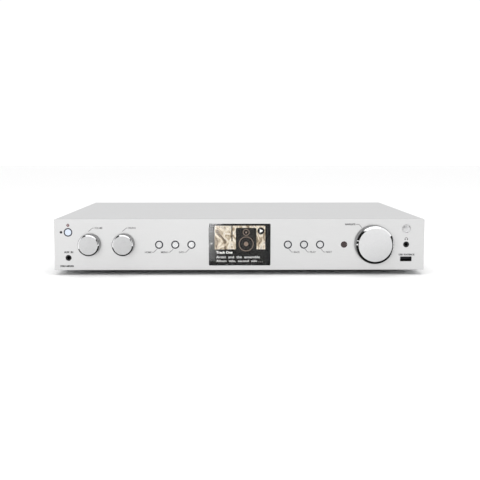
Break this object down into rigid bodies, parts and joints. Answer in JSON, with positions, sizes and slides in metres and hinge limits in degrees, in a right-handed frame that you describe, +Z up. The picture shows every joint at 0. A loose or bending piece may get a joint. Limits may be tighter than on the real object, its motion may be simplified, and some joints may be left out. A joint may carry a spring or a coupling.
{
  "type": "integrated amplifier",
  "caption": "Slim full-width hi-fi amplifier with a central display, round knobs and push buttons, front sockets and a rear connection panel.",
  "frame": {"origin": "on the surface the feet stand on, at the middle of the overall width and depth", "axes": "+X to the right seen from the front, +Y from the front panel to the rear, +Z up"},
  "size_m": [0.4314, 0.3244, 0.0655],
  "materials": {
    "panel_aluminium": "fine bead-blasted and anodised, silver",
    "cover_silver": "satin silver lacquer on folded steel",
    "chassis_steel": "zinc-plated sheet",
    "knob_aluminium": "turned, with a polished bevel",
    "polished_steel": "plain bright steel",
    "black_plastic": "fine matte black moulding",
    "collar_plastic": "dark glossy moulding",
    "silver_button": "silver-coated plastic",
    "lit_button": "translucent, lit pale blue",
    "smoked_lens": "smoked acrylic, polished",
    "ir_filter": "dark red infrared filter",
    "screen_module": "screen glass on its backlight tray",
    "circuit_board": "green solder mask",
    "electronic_parts": "moulded black component cases",
    "aluminium_cans": "sleeved capacitor cans",
    "ferrite": "ferrite core with a taped winding",
    "heatsink_aluminium": "black anodised extrusion",
    "tinned_steel": "tin-plated can",
    "brass_fitting": "nickel-plated brass",
    "foot_plastic": "black moulded foot",
    "foot_rubber": "soft non-slip pad",
    "cable": "flexible insulation",
    "ribbon": "flat flexible cable"
  },
  "bodies": {
    "chassis": {"front_panel": "panel_aluminium", "top_cover": "cover_silver", "chassis_tray": "chassis_steel", "rear_panel": "chassis_steel", "feet": "foot_plastic", "foot_pads": "foot_rubber", "foot_screws": "polished_steel", "cover_screws": "polished_steel", "inner_screws": "polished_steel", "display_lens": "smoked_lens", "display_frame": "black_plastic", "display_module": "screen_module", "control_board": "circuit_board", "control_components": "electronic_parts", "button_bezels": "collar_plastic", "sensor_lens": "smoked_lens", "ir_window": "ir_filter", "aux_jack": "black_plastic", "headphone_jack": "black_plastic", "usb_socket": "tinned_steel", "encoder_bodies": "tinned_steel", "encoder_nuts": "polished_steel", "power_supply_board": "circuit_board", "supply_transformer": "ferrite", "supply_capacitors": "aluminium_cans", "amplifier_board": "circuit_board", "amplifier_heatsink": "heatsink_aluminium", "output_coils": "electronic_parts", "main_board": "circuit_board", "tuner_can": "tinned_steel", "board_pillars": "brass_fitting", "display_ribbon": "ribbon", "power_leads": "cable", "mains_inlet": "black_plastic", "mains_switch_housing": "black_plastic", "terminal_block": "black_plastic", "rca_housings": "black_plastic", "rca_sleeves": "brass_fitting", "antenna_socket": "brass_fitting", "network_socket": "tinned_steel"},
    "volume_dial": {"volume_knob": "knob_aluminium", "volume_shaft": "polished_steel"},
    "source_dial": {"source_knob": "knob_aluminium", "source_shaft": "polished_steel"},
    "navigation_press": {"navigation_plunger": "black_plastic"},
    "navigation_dial": {"navigation_knob": "knob_aluminium", "navigation_shaft": "polished_steel"},
    "standby_button": {"standby_button": "lit_button"},
    "speaker_button": {"speaker_button": "silver_button"},
    "mains_rocker": {"mains_rocker": "black_plastic"},
    "menu_button_1": {"menu_button_1": "silver_button"},
    "menu_button_2": {"menu_button_2": "silver_button"},
    "menu_button_3": {"menu_button_3": "silver_button"},
    "menu_button_4": {"menu_button_4": "silver_button"},
    "menu_button_5": {"menu_button_5": "silver_button"},
    "menu_button_6": {"menu_button_6": "silver_button"},
    "terminal_lever_1": {"terminal_lever_1": "collar_plastic"},
    "terminal_lever_2": {"terminal_lever_2": "collar_plastic"},
    "terminal_lever_3": {"terminal_lever_3": "collar_plastic"},
    "terminal_lever_4": {"terminal_lever_4": "collar_plastic"}
  },
  "joints": [
    {"name": "volume_turn", "type": "hinge", "parent": "chassis", "child": "volume_dial", "pos_m": [-0.1738, -0.14725, 0.0364], "axis": [0, 1, 0], "continuous": true},
    {"name": "source_turn", "type": "hinge", "parent": "chassis", "child": "source_dial", "pos_m": [-0.1346, -0.14725, 0.0364], "axis": [0, 1, 0], "continuous": true},
    {"name": "navigation_push", "type": "slide", "parent": "chassis", "child": "navigation_press", "axis": [0, 1, 0], "range_m": [0, 0.0007], "stiffness_N_per_m": 3000, "springref_m": -0.0002},
    {"name": "navigation_turn", "type": "hinge", "parent": "navigation_press", "child": "navigation_dial", "pos_m": [0.156, -0.14725, 0.0364], "axis": [0, 1, 0], "continuous": true},
    {"name": "menu_button_1_press", "type": "slide", "parent": "chassis", "child": "menu_button_1", "axis": [0, 1, 0], "range_m": [0, 0.0006], "stiffness_N_per_m": 1500, "springref_m": -0.0001},
    {"name": "menu_button_2_press", "type": "slide", "parent": "chassis", "child": "menu_button_2", "axis": [0, 1, 0], "range_m": [0, 0.0006], "stiffness_N_per_m": 1500, "springref_m": -0.0001},
    {"name": "menu_button_3_press", "type": "slide", "parent": "chassis", "child": "menu_button_3", "axis": [0, 1, 0], "range_m": [0, 0.0006], "stiffness_N_per_m": 1500, "springref_m": -0.0001},
    {"name": "menu_button_4_press", "type": "slide", "parent": "chassis", "child": "menu_button_4", "axis": [0, 1, 0], "range_m": [0, 0.0006], "stiffness_N_per_m": 1500, "springref_m": -0.0001},
    {"name": "menu_button_5_press", "type": "slide", "parent": "chassis", "child": "menu_button_5", "axis": [0, 1, 0], "range_m": [0, 0.0006], "stiffness_N_per_m": 1500, "springref_m": -0.0001},
    {"name": "menu_button_6_press", "type": "slide", "parent": "chassis", "child": "menu_button_6", "axis": [0, 1, 0], "range_m": [0, 0.0006], "stiffness_N_per_m": 1500, "springref_m": -0.0001},
    {"name": "standby_button_press", "type": "slide", "parent": "chassis", "child": "standby_button", "axis": [0, 1, 0], "range_m": [0, 0.0006], "stiffness_N_per_m": 1500, "springref_m": -0.0001},
    {"name": "speaker_button_press", "type": "slide", "parent": "chassis", "child": "speaker_button", "axis": [0, 1, 0], "range_m": [0, 0.0006], "stiffness_N_per_m": 1500, "springref_m": -0.0001},
    {"name": "mains_rocker_tip", "type": "hinge", "parent": "chassis", "child": "mains_rocker", "pos_m": [-0.14, 0.15175, 0.027], "axis": [0, 0, 1], "range_deg": [-20, 0]},
    {"name": "terminal_lever_1_open", "type": "hinge", "parent": "chassis", "child": "terminal_lever_1", "pos_m": [0.13325, 0.14975, 0.034], "axis": [1, 0, 0], "range_deg": [0, 25], "stiffness_Nm_per_rad": 0.08, "springref_deg": -11.46},
    {"name": "terminal_lever_2_open", "type": "hinge", "parent": "chassis", "child": "terminal_lever_2", "pos_m": [0.14575, 0.14975, 0.034], "axis": [1, 0, 0], "range_deg": [0, 25], "stiffness_Nm_per_rad": 0.08, "springref_deg": -11.46},
    {"name": "terminal_lever_3_open", "type": "hinge", "parent": "chassis", "child": "terminal_lever_3", "pos_m": [0.15825, 0.14975, 0.034], "axis": [1, 0, 0], "range_deg": [0, 25], "stiffness_Nm_per_rad": 0.08, "springref_deg": -11.46},
    {"name": "terminal_lever_4_open", "type": "hinge", "parent": "chassis", "child": "terminal_lever_4", "pos_m": [0.17075, 0.14975, 0.034], "axis": [1, 0, 0], "range_deg": [0, 25], "stiffness_Nm_per_rad": 0.08, "springref_deg": -11.46}
  ]
}
